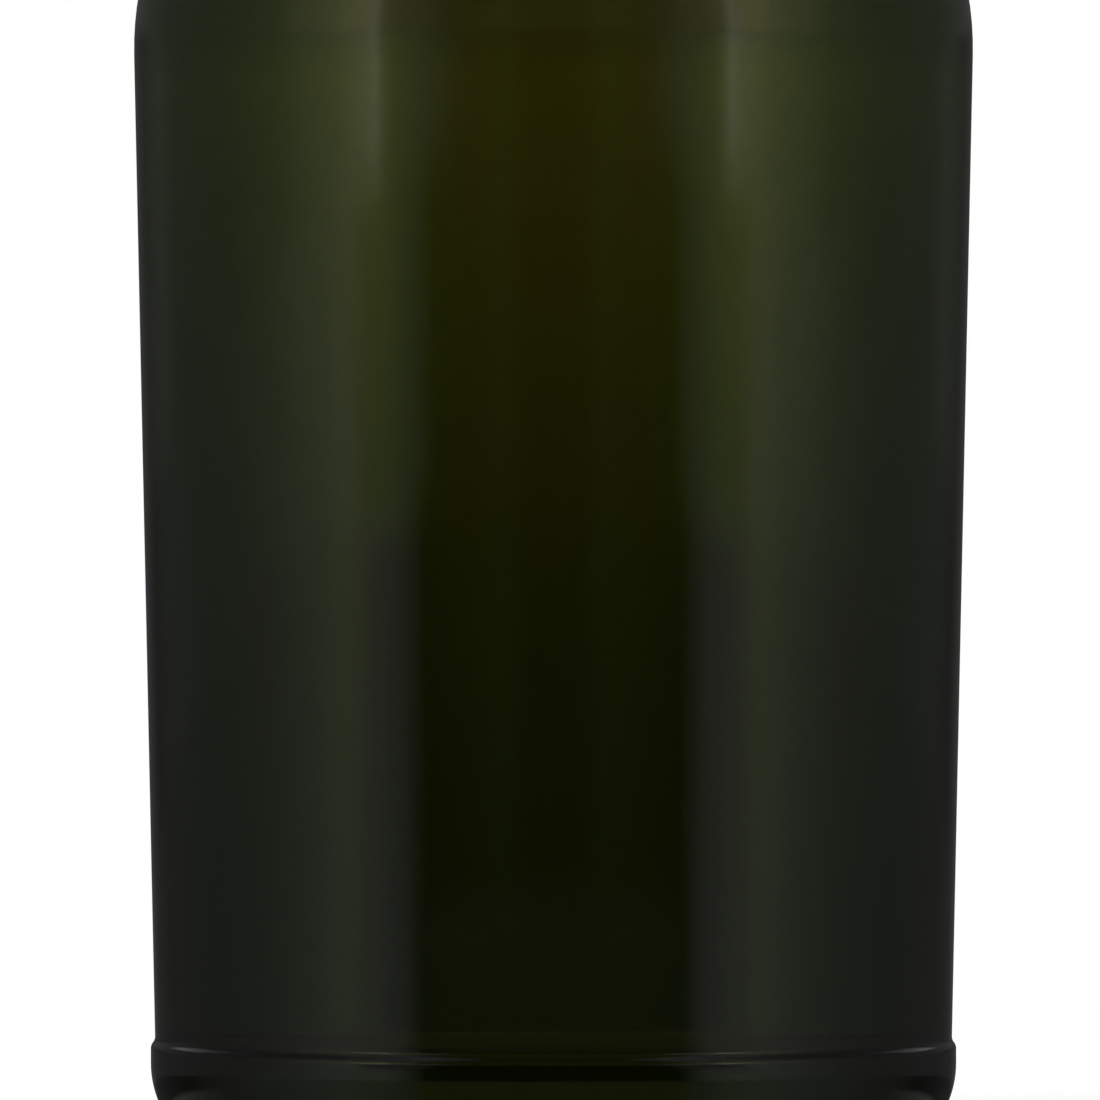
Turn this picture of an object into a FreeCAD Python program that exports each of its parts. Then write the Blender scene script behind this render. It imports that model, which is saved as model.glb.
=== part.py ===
import FreeCAD, Part
import math
import os

# A 70 cl whisky bottle of dark green glass, filled and closed with a bar-top stopper.
# It stands on its base ring. Millimetres, +Z up, the origin in the middle of the base.
# Every piece is round: its outline lies in the XZ half-plane and is turned about Z.

# Body: it narrows from the shoulder down to the heel
body_radius = 44.4          # widest, where the shoulder begins
shoulder_height = 117.9     # height of the widest place
foot_radius = 42.18         # where the taper meets the heel band
shoulder_wall = 2.8         # glass of the shoulder and the foot of the neck
foot_wall = 3.8             # the glass thickens towards the foot

# Heel band
band_step = 0.45            # the band stands this much proud of the body
band_width = 1.5            # its upright part, above the heel curve
band_blend = 1.0            # the two small curves from the band to the body

# Base
heel_rounding = 10.65
ring_width = 2.4            # flat ring that the bottle stands on
punt_depth = 2.5            # hollow under the base
punt_rim_rounding = 2.5
base_thickness = 4.0        # glass above the middle of the punt
inner_heel_rounding = 6.9

# Shoulder and neck
shoulder_rounding = 33.55   # outward curve of the shoulder
neck_blend = 16.8           # inward curve from the shoulder to the neck
neck_radius = 15.4          # foot of the neck
neck_top_radius = 14.0      # just under the mouth ring
glass_height = 231.0        # up to the lip

# Mouth
mouth_ring_step = 0.9       # the ring stands this much proud of the neck
mouth_ring_height = 13.0
mouth_ring_blend = 0.8      # the two small curves from the neck to the ring
mouth_ring_rounding = 1.6
lip_rounding = 0.8          # inner edge of the lip
bore_radius = 9.3
bore_below_cork = 6.0       # the straight bore reaches this far below the cork

# Whisky
fill_depth = 55.0           # from the lip down to the whisky
whisky_gap = 0.1            # between the whisky and the glass

# Stopper: a natural cork glued under a turned head that rests on the lip
cork_length = 22.0
cork_gap = 0.1              # between the cork and the bore
cork_chamfer = 1.2
head_radius = 14.6
head_height = 13.5
head_top_rounding = 2.4
head_foot_rounding = 0.8


def at(radius, height):
    return FreeCAD.Vector(radius, 0, height)


def facing(angle):
    # unit vector: 0 degrees points straight out from the axis, 90 points up
    turn = math.radians(angle)
    return at(math.cos(turn), math.sin(turn))


def arc(center, size, start, end):
    # round stretch of an outline, as its two ends and the point between them
    return [center + facing(angle) * size for angle in (start, (start + end) / 2, end)]


def turned(outline):
    # solid of revolution. A stretch of the outline is one corner or the three points
    # of an arc, and straight lines join it to the stretches beside it.
    edges = []
    last = outline[-1][-1]
    for stretch in outline:
        if last.distanceToPoint(stretch[0]) > 1e-6:
            edges.append(Part.LineSegment(last, stretch[0]).toShape())
        if len(stretch) == 3:
            edges.append(Part.Arc(*stretch).toShape())
        last = stretch[-1]
    face = Part.Face(Part.Wire(edges))
    return Part.Solid(face.revolve(at(0, 0), at(0, 1), 360))


def backwards(outline):
    return [stretch[::-1] for stretch in outline[::-1]]


def touch_angle(center, size, point):
    # where the straight line from the point touches the circle, in degrees
    away = point - center
    return math.degrees(math.atan2(away.z, away.x) + math.acos(size / away.Length))


def step(depth, blend):
    # two equal curves that lead from one upright wall to another: how far each turns,
    # in degrees, and how tall they are together
    turn = math.acos(max(0, 1 - depth / (2 * blend)))
    return math.degrees(turn), 2 * blend * math.sin(turn)


def heel_band():
    # the band, and the double curve by which it falls back to the body
    return [
        arc(band_center, band_blend, 0, band_turn),
        arc(foot_center, band_blend, 180 + band_turn, 180 + taper_angle),
    ]


def mouth():
    # the ring at the top of the neck, over the lip and into the bore
    turn, rise = step(mouth_ring_step, mouth_ring_blend)
    ring_radius = neck_top_radius + mouth_ring_step
    ring_center = at(ring_radius - mouth_ring_blend, ring_foot + rise)
    edge_center = at(ring_radius - mouth_ring_rounding, glass_height - mouth_ring_rounding)
    lip_center = at(bore_radius + lip_rounding, glass_height - lip_rounding)
    return [
        arc(at(neck_top_radius + mouth_ring_blend, ring_foot), mouth_ring_blend, 180, 180 - turn),
        arc(ring_center, mouth_ring_blend, -turn, 0),
        arc(edge_center, mouth_ring_rounding, 0, 90),
        arc(lip_center, lip_rounding, 90, 180),
    ]


def inside(gap):
    # outline of the space in the glass, from the middle of the floor up into the bore,
    # with a gap left to the glass
    shoulder_size = shoulder_rounding - shoulder_wall - gap
    neck_size = neck_blend + shoulder_wall + gap
    floor_size = dome_size + base_thickness + gap
    rounding = inner_heel_rounding - gap
    side_angle = touch_angle(shoulder_center, shoulder_size, foot - at(foot_wall + gap, 0))
    bore = at(bore_radius - gap, bore_foot)

    # the inner heel curve touches both the side and the domed floor
    down = facing(side_angle - 90)
    start = shoulder_center + facing(side_angle) * (shoulder_size - rounding) - dome_center
    reach = floor_size + rounding
    drop = -start.dot(down) - math.sqrt(start.dot(down) ** 2 - start.dot(start) + reach ** 2)
    heel = start + down * drop
    heel_turn = math.degrees(math.atan2(heel.z, heel.x))
    return [
        arc(dome_center, floor_size, 90, heel_turn),
        arc(dome_center + heel, rounding, heel_turn - 180, side_angle),
        arc(shoulder_center, shoulder_size, side_angle, shoulder_turn),
        arc(neck_center, neck_size, 180 + shoulder_turn, touch_angle(neck_center, neck_size, bore)),
        [bore],
    ]


def glass_bottle():
    neck_top = at(neck_top_radius, ring_foot)
    return turned([
        arc(dome_center, dome_size, 90, rim_turn),
        arc(rim_center, punt_rim_rounding, rim_turn - 180, -90),
        arc(heel_center, heel_rounding, -90, 0),
        *heel_band(),
        arc(shoulder_center, shoulder_rounding, taper_angle, shoulder_turn),
        arc(neck_center, neck_blend, 180 + shoulder_turn, touch_angle(neck_center, neck_blend, neck_top)),
        *mouth(),
        *backwards(inside(0)),
    ])


def whisky():
    full = turned([*inside(whisky_gap), [at(0, bore_foot)]])
    return full.common(Part.makeCylinder(body_radius, glass_height - fill_depth)).Solids[0]


def stopper_cork():
    radius = bore_radius - cork_gap
    foot_height = glass_height - cork_length
    return turned([
        [at(0, foot_height)],
        [at(radius - cork_chamfer, foot_height)],
        [at(radius, foot_height + cork_chamfer)],
        [at(radius, glass_height)],
        [at(0, glass_height)],
    ])


def stopper_head():
    top = glass_height + head_height
    foot_center = at(head_radius - head_foot_rounding, glass_height + head_foot_rounding)
    top_center = at(head_radius - head_top_rounding, top - head_top_rounding)
    return turned([
        [at(0, glass_height)],
        arc(foot_center, head_foot_rounding, -90, 0),
        arc(top_center, head_top_rounding, 0, 90),
        [at(0, top)],
    ])


# The shoulder and neck curves touch on the line between their centres
shoulder_center = at(body_radius - shoulder_rounding, shoulder_height)
both = shoulder_rounding + neck_blend
shoulder_turn = math.degrees(math.acos((neck_radius + neck_blend - shoulder_center.x) / both))
neck_center = shoulder_center + facing(shoulder_turn) * both

# The heel band, above the heel curve
band_radius = foot_radius + band_step
heel_center = at(band_radius - heel_rounding, heel_rounding)
band_center = at(band_radius - band_blend, heel_rounding + band_width)
band_turn, band_rise = step(band_step, band_blend)
foot = at(foot_radius, band_center.z + band_rise)

# The straight taper touches the shoulder curve above and the foot curve below
foot_center = foot + at(band_blend, 0)
taper_angle = touch_angle(shoulder_center, shoulder_rounding + band_blend, foot_center)

# Base ring, with the dome of the punt inside its rounded rim
rim_center = at(heel_center.x - ring_width, punt_rim_rounding)
dome_size = (rim_center.x ** 2 / punt_depth + punt_depth) / 2 - punt_rim_rounding
dome_center = at(0, punt_depth - dome_size)
rim_turn = math.degrees(math.atan2(rim_center.z - dome_center.z, rim_center.x))

ring_foot = glass_height - mouth_ring_height
bore_foot = glass_height - cork_length - bore_below_cork

os.makedirs("parts", exist_ok=True)
for make in (glass_bottle, whisky, stopper_cork, stopper_head):
    make().exportStep(f"parts/{make.__name__}.step")
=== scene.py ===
# Filled whisky bottle in dark green glass: glass, whisky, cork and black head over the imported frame
import bpy
import bmesh
import math
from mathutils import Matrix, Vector


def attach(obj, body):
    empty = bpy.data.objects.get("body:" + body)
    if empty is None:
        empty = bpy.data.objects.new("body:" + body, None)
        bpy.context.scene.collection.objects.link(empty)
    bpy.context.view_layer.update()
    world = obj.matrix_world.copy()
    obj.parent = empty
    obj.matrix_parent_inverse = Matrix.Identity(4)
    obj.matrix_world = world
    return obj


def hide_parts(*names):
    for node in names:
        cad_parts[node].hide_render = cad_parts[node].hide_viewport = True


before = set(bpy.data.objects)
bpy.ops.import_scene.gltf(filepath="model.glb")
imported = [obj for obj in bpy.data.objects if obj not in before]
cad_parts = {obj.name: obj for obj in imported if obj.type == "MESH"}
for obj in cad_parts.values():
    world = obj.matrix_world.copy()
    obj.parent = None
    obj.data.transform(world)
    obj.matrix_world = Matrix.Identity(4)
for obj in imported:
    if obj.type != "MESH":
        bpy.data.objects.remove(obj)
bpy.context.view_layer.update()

mm = 0.001


# drawing outlines and turning them

meshing = {
    "curveStep": 3.0, "fewestSteps": 5,     # degrees of turn to a step, and the fewest in a curve
    "endStrip": 0.15, "shortRun": 2.0,      # strips at both ends of straight runs above shortRun
    "longEdge": 12.0, "longEdgeCuts": 9,
    "samePlace": 0.001, "noLength": 0.0001,
}


def inMetres(piece):
    # a piece's sizes are given in millimetres, and its look is left out
    return {name: size * mm for name, size in piece.items() if isinstance(size, float)}


def facing(angle):
    # 0 degrees points straight out from the axis, 90 points up
    turn = math.radians(angle)
    return Vector((math.cos(turn), 0, math.sin(turn)))


def at(radius, height):
    return Vector((radius, 0, height))


def touchAngle(center, size, point):
    # where the straight line from the point touches the circle
    away = point - center
    return math.degrees(math.atan2(away.z, away.x) + math.acos(size / away.length))


def lineTo(bm, pen, point):
    # drags a new vertex out of the last one
    end = bmesh.ops.extrude_vert_indiv(bm, verts=[pen])["verts"][0]
    end.co = point
    return end


def arcTo(bm, pen, center, turn, steps):
    # swings the last vertex round the centre of its curve
    made = bmesh.ops.spin(bm, geom=[pen], cent=center, axis=(0, -1, 0), angle=math.radians(turn),
                          steps=steps, use_merge=False, use_duplicate=False)
    return [g for g in made["geom_last"] if isinstance(g, bmesh.types.BMVert)][0]


def drawOutline(bm, stretches):
    # a stretch is a point or a curve (centre, size, start, end); straight runs join them
    pen = None
    for stretch in stretches:
        curve = isinstance(stretch, tuple)
        start = stretch[0] + facing(stretch[2]) * stretch[1] if curve else stretch
        if pen is None:
            pen = bm.verts.new(start)
        elif (start - pen.co).length > meshing["noLength"] * mm:
            run = start - pen.co
            if run.length > meshing["shortRun"] * mm:
                # a narrow strip at each end, so that the run shades flat up to its curves
                strip = run.normalized() * meshing["endStrip"] * mm
                pen = lineTo(bm, pen, pen.co + strip)
                pen = lineTo(bm, pen, start - strip)
            pen = lineTo(bm, pen, start)
        if curve:
            turn = stretch[3] - stretch[2]
            steps = max(meshing["fewestSteps"], math.ceil(abs(turn) / meshing["curveStep"]))
            pen = arcTo(bm, pen, stretch[0], turn, steps)
    longEdges = [edge for edge in bm.edges if edge.calc_length() > meshing["longEdge"] * mm]
    bmesh.ops.subdivide_edges(bm, edges=longEdges, cuts=meshing["longEdgeCuts"])


def turnedPiece(name, stretches, material, quarterSteps=64):
    # a quarter turn of the outline, mirrored twice
    samePlace = meshing["samePlace"] * mm
    bm = bmesh.new()
    drawOutline(bm, stretches)
    bmesh.ops.spin(bm, geom=bm.verts[:] + bm.edges[:], cent=(0, 0, 0), axis=(0, 0, 1),
                   angle=math.pi / 2, steps=quarterSteps, use_merge=False, use_duplicate=False)
    for axis in ("X", "Y"):
        bmesh.ops.mirror(bm, geom=bm.verts[:] + bm.edges[:] + bm.faces[:], axis=axis,
                         merge_dist=samePlace)
    bmesh.ops.remove_doubles(bm, verts=bm.verts[:], dist=samePlace)
    bmesh.ops.dissolve_degenerate(bm, edges=bm.edges[:], dist=meshing["noLength"] * mm)
    bmesh.ops.recalc_face_normals(bm, faces=bm.faces[:])
    for face in bm.faces:
        face.smooth = True
    mesh = bpy.data.meshes.new(name)
    bm.to_mesh(mesh)
    bm.free()
    piece = bpy.data.objects.new(name, mesh)
    bpy.context.scene.collection.objects.link(piece)
    mesh.materials.append(material)
    return piece


# material helpers

def newMaterial(name):
    material = bpy.data.materials.new(name)
    material.use_nodes = True
    return material, material.node_tree, material.node_tree.nodes["Principled BSDF"]


def addNode(tree, kind, **settings):
    node = tree.nodes.new(kind)
    for key, value in settings.items():
        setattr(node, key, value)
    return node


def objectPattern(tree, perMetre):
    # object coordinates, with so many cells of a pattern to the metre along each axis
    place = addNode(tree, "ShaderNodeTexCoord")
    mapping = addNode(tree, "ShaderNodeMapping")
    mapping.inputs["Scale"].default_value = perMetre
    tree.links.new(place.outputs["Object"], mapping.inputs["Vector"])
    return mapping.outputs["Vector"]


def noisePattern(tree, perMetre, detail, roughness=0.5):
    noise = addNode(tree, "ShaderNodeTexNoise")
    noise.inputs["Scale"].default_value = 1.0
    noise.inputs["Detail"].default_value = detail
    noise.inputs["Roughness"].default_value = roughness
    tree.links.new(objectPattern(tree, perMetre), noise.inputs["Vector"])
    return noise.outputs["Fac"]


def spreadValue(tree, source, low, high, toLow, toHigh):
    spread = addNode(tree, "ShaderNodeMapRange")
    spread.inputs["From Min"].default_value = low
    spread.inputs["From Max"].default_value = high
    spread.inputs["To Min"].default_value = toLow
    spread.inputs["To Max"].default_value = toHigh
    tree.links.new(source, spread.inputs["Value"])
    return spread.outputs["Result"]


def addBump(tree, height, strength, distance, under=None):
    # distance is the depth in metres
    bump = addNode(tree, "ShaderNodeBump")
    bump.inputs["Strength"].default_value = strength
    bump.inputs["Distance"].default_value = distance
    tree.links.new(height, bump.inputs["Height"])
    if under:
        tree.links.new(under, bump.inputs["Normal"])
    return bump.outputs["Normal"]


def asColour(value):
    # a colour or a grey level, with its alpha
    return (*value, 1) if isinstance(value, tuple) else (value, value, value, 1)


def colourRamp(tree, source, stops):
    ramp = addNode(tree, "ShaderNodeValToRGB")
    elements = ramp.color_ramp.elements
    while len(elements) < len(stops):
        elements.new(0.5)
    for element, (place, colour) in zip(elements, stops):
        element.position = place
        element.color = asColour(colour)
    tree.links.new(source, ramp.inputs["Fac"])
    return ramp.outputs["Color"]


def pick(tree, factor, first, second, blend="MIX"):
    # second takes over from first as the factor goes from 0 to 1; 6, 7 and 2 are colour sockets
    mix = addNode(tree, "ShaderNodeMix", data_type="RGBA", blend_type=blend)
    factorIn, firstIn, secondIn = mix.inputs[0], mix.inputs[6], mix.inputs[7]
    if isinstance(factor, float):
        factorIn.default_value = factor
    else:
        tree.links.new(factor, factorIn)
    for socket, value in ((firstIn, first), (secondIn, second)):
        if isinstance(value, (float, tuple)):
            socket.default_value = asColour(value)
        else:
            tree.links.new(value, socket)
    return mix.outputs[2]


def makeClear(tree, shader, look):
    # clear throughout: the volume absorbs (1 - tint) * density of each colour per metre
    shader.inputs["Base Color"].default_value = (1, 1, 1, 1)
    shader.inputs["Transmission Weight"].default_value = 1.0
    shader.inputs["IOR"].default_value = look["ior"]
    absorption = addNode(tree, "ShaderNodeVolumeAbsorption")
    absorption.inputs["Color"].default_value = asColour(look["tint"])
    absorption.inputs["Density"].default_value = look["density"]
    tree.links.new(absorption.outputs["Volume"], tree.nodes["Material Output"].inputs["Volume"])


# dark green glass

glass = {
    "bodyRadius": 44.4, "shoulderHeight": 117.9, "footRadius": 42.18,
    "shoulderWall": 2.8, "footWall": 3.8,
    "bandStep": 0.45, "bandWidth": 1.5, "bandBlend": 1.0,
    "heelRounding": 10.65, "ringWidth": 2.4, "puntDepth": 2.5, "puntRimRounding": 2.5,
    "baseThickness": 4.0, "innerHeelRounding": 6.9,
    "shoulderRounding": 33.55, "neckBlend": 16.8, "neckRadius": 15.4, "neckTopRadius": 14.0,
    "height": 231.0,
    "mouthRingStep": 0.9, "mouthRingHeight": 13.0, "mouthRingBlend": 0.8, "mouthRingRounding": 1.6,
    "lipRounding": 0.8, "boreRadius": 9.3, "boreDepth": 28.0,
    "look": {
        "ior": 1.52, "density": 1000.0, "tint": (0.32, 0.41, 0.22),
        "smudges": (60, 60, 25), "smudgeDetail": 4.0, "smudgeGrit": 0.6,
        "smudgeFaintToFull": (0.35, 0.75), "roughness": (0.012, 0.05),
        "waves": (28, 28, 9), "waveDetail": 1.0, "waveBump": (0.25, 0.0006),
    },
}
g = inMetres(glass)

shoulderCenter = at(g["bodyRadius"] - g["shoulderRounding"], g["shoulderHeight"])
bothCurves = g["shoulderRounding"] + g["neckBlend"]
neckReach = g["neckRadius"] + g["neckBlend"] - shoulderCenter.x
shoulderTurn = math.degrees(math.acos(neckReach / bothCurves))
neckCenter = shoulderCenter + facing(shoulderTurn) * bothCurves
bandRadius = g["footRadius"] + g["bandStep"]
heelCenter = at(bandRadius - g["heelRounding"], g["heelRounding"])
bandCenter = at(bandRadius - g["bandBlend"], g["heelRounding"] + g["bandWidth"])
bandTurn = math.degrees(math.acos(1 - g["bandStep"] / (2 * g["bandBlend"])))
foot = at(g["footRadius"], bandCenter.z + 2 * g["bandBlend"] * math.sin(math.radians(bandTurn)))
footCenter = foot + at(g["bandBlend"], 0)
taperAngle = touchAngle(shoulderCenter, g["shoulderRounding"] + g["bandBlend"], footCenter)
rimCenter = at(heelCenter.x - g["ringWidth"], g["puntRimRounding"])
domeSize = (rimCenter.x ** 2 / g["puntDepth"] + g["puntDepth"]) / 2 - g["puntRimRounding"]
domeCenter = at(0, g["puntDepth"] - domeSize)
rimTurn = math.degrees(math.atan2(rimCenter.z - domeCenter.z, rimCenter.x))
ringFoot = g["height"] - g["mouthRingHeight"]
boreFoot = g["height"] - g["boreDepth"]


def insideOutline(gap):
    # the space in the glass, from the middle of the floor to the foot of the bore
    shoulderSize = g["shoulderRounding"] - g["shoulderWall"] - gap
    neckSize = g["neckBlend"] + g["shoulderWall"] + gap
    floorSize = domeSize + g["baseThickness"] + gap
    rounding = g["innerHeelRounding"] - gap
    sideAngle = touchAngle(shoulderCenter, shoulderSize, foot - at(g["footWall"] + gap, 0))
    bore = at(g["boreRadius"] - gap, boreFoot)
    down = facing(sideAngle - 90)
    start = shoulderCenter + facing(sideAngle) * (shoulderSize - rounding) - domeCenter
    reach = floorSize + rounding
    drop = -start.dot(down) - math.sqrt(start.dot(down) ** 2 - start.dot(start) + reach ** 2)
    heel = start + down * drop
    heelTurn = math.degrees(math.atan2(heel.z, heel.x))
    return [
        (domeCenter, floorSize, 90, heelTurn),
        (domeCenter + heel, rounding, heelTurn - 180, sideAngle),
        (shoulderCenter, shoulderSize, sideAngle, shoulderTurn),
        (neckCenter, neckSize, 180 + shoulderTurn, touchAngle(neckCenter, neckSize, bore)),
        bore,
    ]


def backwards(stretches):
    return [(s[0], s[1], s[3], s[2]) if isinstance(s, tuple) else s for s in reversed(stretches)]


def glassOutline():
    ringRadius = g["neckTopRadius"] + g["mouthRingStep"]
    blend = g["mouthRingBlend"]
    turn = math.degrees(math.acos(1 - g["mouthRingStep"] / (2 * blend)))
    rise = 2 * blend * math.sin(math.radians(turn))
    edge, lip = g["mouthRingRounding"], g["lipRounding"]
    neckTop = at(g["neckTopRadius"], ringFoot)
    neckTurn = touchAngle(neckCenter, g["neckBlend"], neckTop)
    return [
        (domeCenter, domeSize, 90, rimTurn),
        (rimCenter, g["puntRimRounding"], rimTurn - 180, -90),
        (heelCenter, g["heelRounding"], -90, 0),
        (bandCenter, g["bandBlend"], 0, bandTurn),
        (footCenter, g["bandBlend"], 180 + bandTurn, 180 + taperAngle),
        (shoulderCenter, g["shoulderRounding"], taperAngle, shoulderTurn),
        (neckCenter, g["neckBlend"], 180 + shoulderTurn, neckTurn),
        (at(g["neckTopRadius"] + blend, ringFoot), blend, 180, 180 - turn),
        (at(ringRadius - blend, ringFoot + rise), blend, -turn, 0),
        (at(ringRadius - edge, g["height"] - edge), edge, 0, 90),
        (at(g["boreRadius"] + lip, g["height"] - lip), lip, 90, 180),
        *backwards(insideOutline(0)),
    ]


def glassMaterial():
    look = glass["look"]
    material, tree, shader = newMaterial("darkGreenGlass")
    makeClear(tree, shader, look)
    # faint film of handling marks, and the slow waves that the mould leaves
    smudge = noisePattern(tree, look["smudges"], look["smudgeDetail"], look["smudgeGrit"])
    film = spreadValue(tree, smudge, *look["smudgeFaintToFull"], *look["roughness"])
    tree.links.new(film, shader.inputs["Roughness"])
    waves = noisePattern(tree, look["waves"], look["waveDetail"])
    tree.links.new(addBump(tree, waves, *look["waveBump"]), shader.inputs["Normal"])
    return material


glassBody = turnedPiece("glassBody", glassOutline(), glassMaterial())
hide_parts("glass_bottle")
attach(glassBody, "root")
print("glass turned:", len(glassBody.data.polygons), "faces")


# whisky

whisky = {
    "level": 176.0, "intoWall": 0.15, "meniscusRise": 0.9, "meniscusWidth": 1.6,
    "look": {"ior": 1.36, "density": 40.0, "tint": (0.9325, 0.7425, 0.1075), "roughness": 0.0},
}
w = inMetres(whisky)


def whiskyOutline():
    # follows the inside of the glass, just into the wall, up to the level with its raised edge
    inner = insideOutline(-w["intoWall"])
    (neckMiddle, neckSize, _, neckEnd), bore = inner[3:]
    touch = neckMiddle + facing(neckEnd) * neckSize
    level, lift, width = w["level"], w["meniscusRise"], w["meniscusWidth"]
    top = level + lift
    wall = touch.x + (bore.x - touch.x) * (top - touch.z) / (bore.z - touch.z)
    size = (lift ** 2 + width ** 2) / (2 * lift)
    swing = math.degrees(math.asin(width / size))
    return [
        *inner[:4],
        at(wall, top),
        (at(wall - width, level + size), size, -90 + swing, -90),
        at(0, level),
    ]


def whiskyMaterial():
    material, tree, shader = newMaterial("whiskyAmber")
    makeClear(tree, shader, whisky["look"])
    shader.inputs["Roughness"].default_value = whisky["look"]["roughness"]
    return material


whiskyFill = turnedPiece("whiskyFill", whiskyOutline(), whiskyMaterial())
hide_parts("whisky")
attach(whiskyFill, "root")
print("whisky poured:", len(whiskyFill.data.polygons), "faces")


# cork

cork = {
    "radius": 9.2, "length": 22.0, "chamfer": 1.2, "edge": 0.25,
    "look": {
        "pale": (0.62, 0.42, 0.24), "deep": (0.36, 0.20, 0.10), "pit": (0.12, 0.06, 0.03),
        "grain": (700, 700, 260), "grainDetail": 6.0, "grainGrit": 0.65,
        "deepAt": 0.36, "paleAt": 0.62, "grainBump": (0.35, 0.0004),
        "slots": (330, 330, 900), "slotEdge": (0.12, 0.30), "slotBump": (0.6, 0.0004),
        "grainRange": (0.3, 0.7), "roughness": (0.72, 0.9),
    },
}
c = inMetres(cork)


def corkOutline():
    radius, edge, chamfer = c["radius"], c["edge"], c["chamfer"]
    low = g["height"] - c["length"]
    return [
        at(0, low),
        (at(radius - chamfer - edge, low + edge), edge, -90, -45),
        (at(radius - edge, low + chamfer + edge), edge, -45, 0),
        at(radius, g["height"]),
        at(0, g["height"]),
    ]


def corkMaterial():
    look = cork["look"]
    material, tree, shader = newMaterial("naturalCork")
    grain = noisePattern(tree, look["grain"], look["grainDetail"], look["grainGrit"])
    patches = colourRamp(tree, grain, [(look["deepAt"], look["deep"]),
                                       (look["paleAt"], look["pale"])])
    # lenticels: dark slots that lie level round the cork
    slots = addNode(tree, "ShaderNodeTexVoronoi", feature="F1")
    slots.inputs["Scale"].default_value = 1.0
    tree.links.new(objectPattern(tree, look["slots"]), slots.inputs["Vector"])
    pits = spreadValue(tree, slots.outputs["Distance"], *look["slotEdge"], 1.0, 0.0)
    tree.links.new(pick(tree, pits, patches, look["pit"]), shader.inputs["Base Color"])
    dry = spreadValue(tree, grain, *look["grainRange"], *look["roughness"])
    tree.links.new(dry, shader.inputs["Roughness"])
    cells = addBump(tree, grain, *look["grainBump"])
    sunk = spreadValue(tree, pits, 0.0, 1.0, 1.0, 0.0)
    tree.links.new(addBump(tree, sunk, *look["slotBump"], cells), shader.inputs["Normal"])
    return material


stopperCork = turnedPiece("stopperCork", corkOutline(), corkMaterial(), quarterSteps=32)
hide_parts("stopper_cork")
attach(stopperCork, "root")
print("cork cut:", len(stopperCork.data.polygons), "faces")


# black head

head = {
    "radius": 14.6, "height": 13.5, "topRounding": 2.4, "footRounding": 0.8,
    "groove": 0.35, "grooveHeight": 3.2,
    "look": {
        "black": (0.012, 0.012, 0.013), "worn": (0.02, 0.02, 0.021),
        "wear": (160, 160, 160), "wearDetail": 5.0, "wearGrit": 0.6,
        "blackAt": 0.42, "wornAt": 0.78, "wearRange": (0.3, 0.7), "roughness": (0.28, 0.42),
        "satin": (2600, 2600, 2600), "satinDetail": 2.0, "satinBump": (0.15, 0.0001),
    },
}
h = inMetres(head)


def headOutline():
    radius, low = h["radius"], g["height"]
    top = low + h["height"]
    edge, rim = h["footRounding"], h["topRounding"]
    cut, middle = h["groove"], low + h["grooveHeight"]
    return [
        at(0, low),
        (at(radius - edge, low + edge), edge, -90, 0),
        (at(radius, middle), cut, -90, -270),
        (at(radius - rim, top - rim), rim, 0, 90),
        at(0, top),
    ]


def headMaterial():
    look = head["look"]
    material, tree, shader = newMaterial("satinBlack")
    wear = noisePattern(tree, look["wear"], look["wearDetail"], look["wearGrit"])
    black = colourRamp(tree, wear, [(look["blackAt"], look["black"]),
                                    (look["wornAt"], look["worn"])])
    tree.links.new(black, shader.inputs["Base Color"])
    gloss = spreadValue(tree, wear, *look["wearRange"], *look["roughness"])
    tree.links.new(gloss, shader.inputs["Roughness"])
    satin = noisePattern(tree, look["satin"], look["satinDetail"])
    tree.links.new(addBump(tree, satin, *look["satinBump"]), shader.inputs["Normal"])
    return material


stopperHead = turnedPiece("stopperHead", headOutline(), headMaterial(), quarterSteps=40)
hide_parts("stopper_head")
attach(stopperHead, "root")
print("head turned:", len(stopperHead.data.polygons), "faces")


# floor and lamps

studio = {
    "floorRadius": 0.30, "floorSegments": 160, "floorColour": (0.86, 0.86, 0.86),
    "speckShade": 0.985, "specks": (400, 400, 400), "speckDetail": 3.0,
    "speckAt": 0.3, "plainAt": 0.7, "floorRoughness": 0.9,
    "floorLift": 0.30, "floorThrough": 1.5,     # the floor's glow, to the camera and through glass
    "keyPower": 5.0, "keyPlace": (-0.55, -0.75, 0.95),
    "fillPower": 3.0, "fillPlace": (0.75, -0.35, 0.8),
    "lampSize": 0.7, "lampAim": (0, 0, 0.10),
}


def floorMaterial():
    material, tree, shader = newMaterial("paleFloor")
    specks = noisePattern(tree, studio["specks"], studio["speckDetail"])
    plain = studio["floorColour"]
    speck = tuple(level * studio["speckShade"] for level in plain)
    pale = colourRamp(tree, specks, [(studio["speckAt"], speck), (studio["plainAt"], plain)])
    tree.links.new(pale, shader.inputs["Base Color"])
    shader.inputs["Roughness"].default_value = studio["floorRoughness"]
    shader.inputs["Specular IOR Level"].default_value = 0.0
    # near white to the camera with its shadow kept, and a plain glow through the glass
    rays = addNode(tree, "ShaderNodeLightPath")
    shader.inputs["Emission Color"].default_value = (1, 1, 1, 1)
    lift = spreadValue(tree, rays.outputs["Is Camera Ray"], 0.0, 1.0, 0.0, studio["floorLift"])
    tree.links.new(lift, shader.inputs["Emission Strength"])
    glow = addNode(tree, "ShaderNodeEmission")
    glow.inputs["Strength"].default_value = studio["floorThrough"]
    choose = addNode(tree, "ShaderNodeMixShader")
    tree.links.new(rays.outputs["Is Transmission Ray"], choose.inputs["Fac"])
    tree.links.new(shader.outputs["BSDF"], choose.inputs[1])
    tree.links.new(glow.outputs["Emission"], choose.inputs[2])
    tree.links.new(choose.outputs["Shader"], tree.nodes["Material Output"].inputs["Surface"])
    return material


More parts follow.
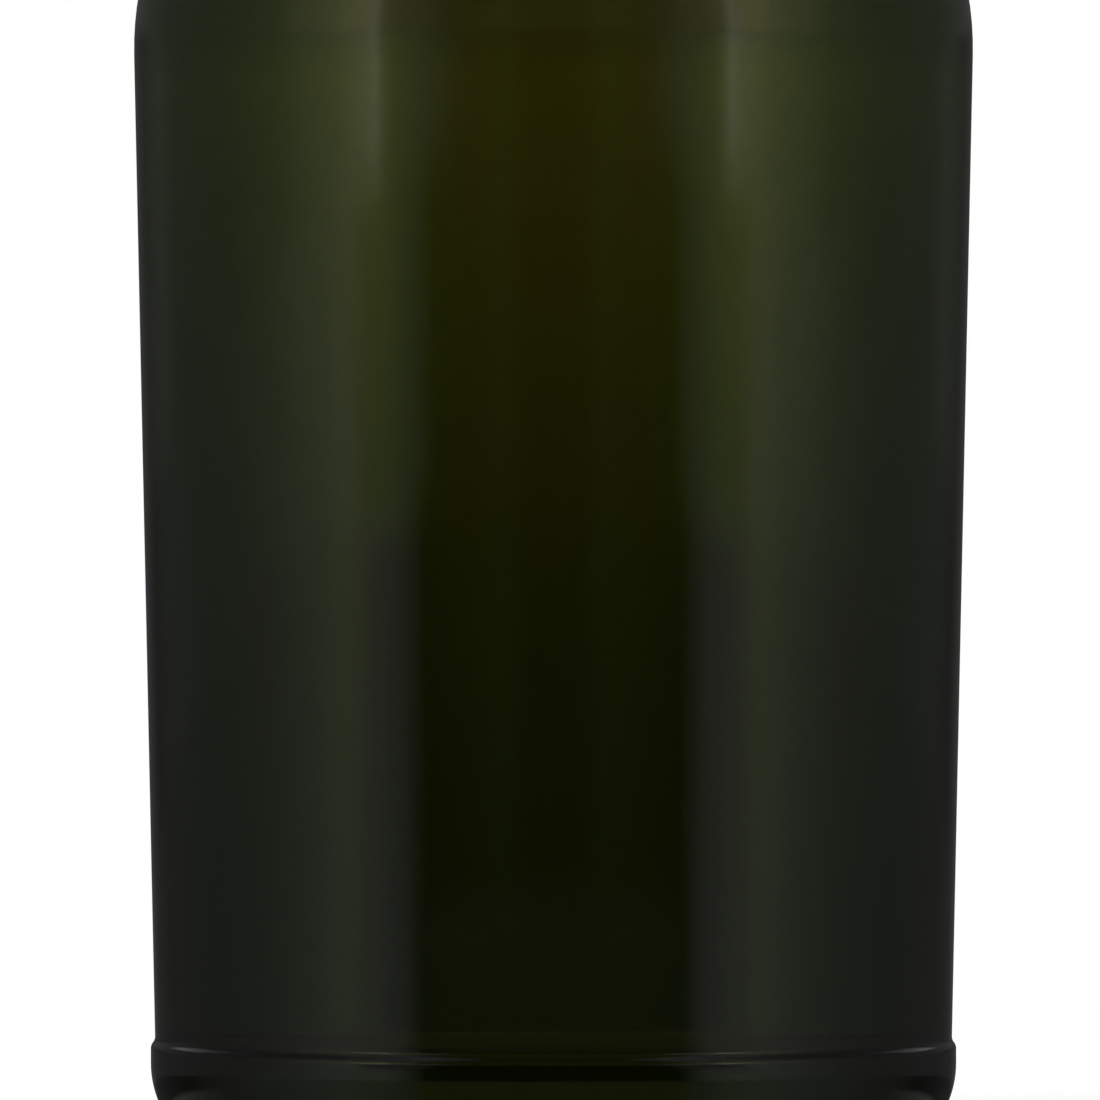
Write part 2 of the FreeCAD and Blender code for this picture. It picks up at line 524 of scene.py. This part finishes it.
def makeFloor():
    bm = bmesh.new()
    bmesh.ops.create_circle(bm, cap_ends=True, segments=studio["floorSegments"],
                            radius=studio["floorRadius"])
    mesh = bpy.data.meshes.new("paleFloor")
    bm.to_mesh(mesh)
    bm.free()
    floor = bpy.data.objects.new("paleFloor", mesh)
    bpy.context.scene.collection.objects.link(floor)
    mesh.materials.append(floorMaterial())
    floor.visible_glossy = False    # the glass mirrors the table of the surround instead


def makeLamp(name, place, power):
    # soft lamp for the floor, cork and head; the glass mirrors the surround instead
    light = bpy.data.lights.new(name, "AREA")
    light.shape = "SQUARE"
    light.size = studio["lampSize"]
    light.energy = power
    lamp = bpy.data.objects.new(name, light)
    bpy.context.scene.collection.objects.link(lamp)
    lamp.location = place
    aim = Vector(studio["lampAim"]) - lamp.location
    lamp.rotation_euler = aim.to_track_quat("-Z", "Y").to_euler()
    lamp.visible_camera = lamp.visible_glossy = lamp.visible_transmission = False


# surround

surround = {
    "backdrop": 1.0, "plainLevel": 0.62,    # to the camera, and as plain light on the pieces
    # brightness that the glass mirrors, by the angle from the camera side (0) to behind (180),
    # in seven rings from high up to well below the horizon
    "mirroredAbove": [(0, (0.09, 0.1, 0.03)), (36, (0.09, 0.1, 0.03)), (46, 0.25), (64, 0.3),
                      (78, 0.2), (92, 0.14), (110, 0.1), (125, 0.1), (145, 0.4), (180, 0.35)],
    "mirroredTop": [(0, (0.09, 0.08, 0.02)), (18, (0.08, 0.07, 0.01)), (25, (0.09, 0.08, 0.03)),
                    (30, (0.13, 0.12, 0.09)), (36, (0.28, 0.29, 0.17)), (43, (0.46, 0.44, 0.22)),
                    (47, (0.67, 0.68, 0.36)), (49.5, (1.2, 1.2, 0.85)), (53, (0.98, 0.98, 0.6)),
                    (57, (0.8, 0.8, 0.5)), (62, (0.52, 0.52, 0.41)), (74, (0.41, 0.41, 0.3)),
                    (82, (0.22, 0.25, 0.19)), (100, 0.13), (125, 0.09), (180, 0.07)],
    "mirroredHigh": [(18, 0.0), (25, 0.03), (30, 0.09), (35, 0.17), (44, 0.22), (47, 0.36),
                     (49.5, 0.85), (53, 0.58), (57, 0.46), (62, 0.34), (74, 0.25), (82, 0.17),
                     (100, 0.13), (125, 0.09), (138, 0.09), (146, 0.065), (154, 0.045),
                     (180, 0.06)],
    "mirroredLevel": [(33, 0.0), (38, 0.12), (43, 0.17), (52, 0.18), (57, 0.32), (61, 0.38),
                      (66, 0.32), (75, 0.28), (84, 0.21), (98, 0.15), (115, 0.11), (130, 0.09),
                      (143, 0.055), (151, 0.037), (180, 0.07)],
    "mirroredLow": [(36, 0.0), (39.5, 0.10), (44, 0.23), (49, 0.28), (64, 0.32), (70, 0.28),
                    (78, 0.23), (92, 0.16), (110, 0.11), (125, 0.085), (142, 0.055), (158, 0.045),
                    (180, 0.08)],
    "mirroredBelow": [(0, (0.1, 0.11, 0.03)), (36, (0.1, 0.11, 0.03)), (44, 0.13), (64, 0.22),
                      (92, 0.15), (110, 0.09), (128, 0.03), (180, 0.02)],
    "mirroredNear": [(0, (0.1, 0.11, 0.03)), (36, (0.1, 0.11, 0.03)), (44, 0.13), (64, 0.22),
                     (90, 0.15), (110, 0.09), (130, 0.12), (155, 0.15), (180, 0.15)],
    # slopes between which each ring gives way to the next, with 1 straight up
    "aboveToTop": (0.34, 0.26), "topToHigh": (0.07, 0.05), "highToLevel": (-0.001, -0.009),
    "levelToLow": (-0.033, -0.037), "lowToBelow": (-0.085, -0.1), "belowToNear": (-0.2, -0.24),
    "tableEdge": (-0.071, -0.075), "tableMirrored": 0.03,
    "ringsToOverhead": (0.9, 0.98), "overhead": 0.03,
    # brightness that shows through the glass, in two rings
    "throughHigh": [(0, (1.05, 1.0, 1.0)), (7, (1.05, 1.0, 1.0)), (14, (2.2, 2.8, 2.8)),
                    (28, (1.1, 1.4, 1.4)), (90, (0.8, 0.9, 0.9)), (130, (1.6, 1.9, 1.9)),
                    (136, (1.1, 1.3, 1.3)), (150, (1.0, 1.25, 1.25)), (158, (1.4, 1.9, 1.9)),
                    (162, (1.8, 2.4, 2.4)), (165.5, (2.5, 3.1, 3.1)), (167.5, (2.3, 3.0, 3.0)),
                    (169.5, (1.35, 1.85, 1.85)), (171.5, (1.0, 1.3, 1.3)), (174, (1.05, 1.0, 1.0))],
    "throughLow": [(0, (0.9, 1.0, 1.0)), (7, (0.9, 1.0, 1.0)), (14, (2.2, 2.8, 2.8)),
                   (28, (1.1, 1.4, 1.4)), (90, (0.8, 0.9, 0.9)), (128, (1.5, 1.8, 1.8)),
                   (140, (1.1, 1.35, 1.35)), (155, (1.1, 1.35, 1.35)), (161, (1.3, 1.9, 1.9)),
                   (164.5, (2.3, 2.9, 2.9)), (166, (1.5, 1.8, 1.8)), (168, (0.6, 0.75, 0.75)),
                   (171, (0.85, 0.95, 0.95)), (175, (0.9, 1.0, 1.0))],
    "throughHighToLow": (0.017, 0.013),
    "throughFade": (0.06, 0.01, 1.13, 0.82),    # two slopes, and the light's scale at each
}


def angleRound(tree, direction):
    # 0 on the camera side and 1 behind, the same left and right
    flat = addNode(tree, "ShaderNodeVectorMath", operation="MULTIPLY")
    flat.inputs[1].default_value = (1, -1, 0)
    tree.links.new(direction, flat.inputs[0])
    along = addNode(tree, "ShaderNodeVectorMath", operation="NORMALIZE")
    tree.links.new(flat.outputs["Vector"], along.inputs[0])
    parts = addNode(tree, "ShaderNodeSeparateXYZ")
    tree.links.new(along.outputs["Vector"], parts.inputs["Vector"])
    turn = addNode(tree, "ShaderNodeMath", operation="ARCCOSINE")
    tree.links.new(parts.outputs["Y"], turn.inputs[0])
    return spreadValue(tree, turn.outputs["Value"], 0.0, math.pi, 0.0, 1.0)


def ring(tree, azimuth, name):
    return colourRamp(tree, azimuth, [(angle / 180, level) for angle, level in surround[name]])


def pastEdge(tree, slope, edge, first, second):
    # second takes over from first as the slope passes the edge
    return pick(tree, spreadValue(tree, slope, *surround[edge], 0.0, 1.0), first, second)


def makeWorld():
    # soft boxes stand left and right; the camera sees white all round
    world = bpy.data.worlds.new("softStudio")
    bpy.context.scene.world = world
    world.use_nodes = True
    tree = world.node_tree
    direction = addNode(tree, "ShaderNodeTexCoord").outputs["Generated"]
    azimuth = angleRound(tree, direction)
    parts = addNode(tree, "ShaderNodeSeparateXYZ")
    tree.links.new(direction, parts.inputs["Vector"])
    slope = parts.outputs["Z"]

    mirrored = ring(tree, azimuth, "mirroredAbove")
    for edge, lower in (("aboveToTop", "mirroredTop"), ("topToHigh", "mirroredHigh"),
                        ("highToLevel", "mirroredLevel"), ("levelToLow", "mirroredLow"),
                        ("lowToBelow", "mirroredBelow"), ("belowToNear", "mirroredNear")):
        mirrored = pastEdge(tree, slope, edge, mirrored, ring(tree, azimuth, lower))
    table = spreadValue(tree, slope, *surround["tableEdge"], 0.0, surround["tableMirrored"])
    mirrored = pick(tree, 1.0, mirrored, table, "LIGHTEN")
    mirrored = pastEdge(tree, slope, "ringsToOverhead", mirrored, surround["overhead"])

    high, low = ring(tree, azimuth, "throughHigh"), ring(tree, azimuth, "throughLow")
    through = addNode(tree, "ShaderNodeVectorMath", operation="SCALE")
    tree.links.new(pastEdge(tree, slope, "throughHighToLow", high, low), through.inputs[0])
    fade = spreadValue(tree, slope, *surround["throughFade"])
    tree.links.new(fade, through.inputs["Scale"])

    rays = addNode(tree, "ShaderNodeLightPath")
    light = pick(tree, rays.outputs["Is Glossy Ray"], surround["plainLevel"], mirrored)
    light = pick(tree, rays.outputs["Is Transmission Ray"], light, through.outputs["Vector"])
    light = pick(tree, rays.outputs["Is Camera Ray"], light, surround["backdrop"])
    tree.links.new(light, tree.nodes["Background"].inputs["Color"])


# camera

view = {
    "sideways": -0.00037, "back": 1.184, "height": 0.06487,     # metres
    "frameWidth": 0.1165,   # how much the frame takes in across, at the bottle's axis
    "sensor": 36.0,
}


def makeCamera():
    # level, long lens, looking along +Y
    data = bpy.data.cameras.new("longLens")
    data.sensor_width = view["sensor"]
    data.lens = view["sensor"] * view["back"] / view["frameWidth"]
    camera = bpy.data.objects.new("longLens", data)
    bpy.context.scene.collection.objects.link(camera)
    camera.location = (view["sideways"], -view["back"], view["height"])
    camera.rotation_euler = (math.radians(90), 0, 0)
    bpy.context.scene.camera = camera


makeFloor()
makeLamp("keyLamp", studio["keyPlace"], studio["keyPower"])
makeLamp("fillLamp", studio["fillPlace"], studio["fillPower"])
makeWorld()
makeCamera()
bpy.context.scene.view_settings.view_transform = "Standard"
print("floor, lamps, world and camera set")
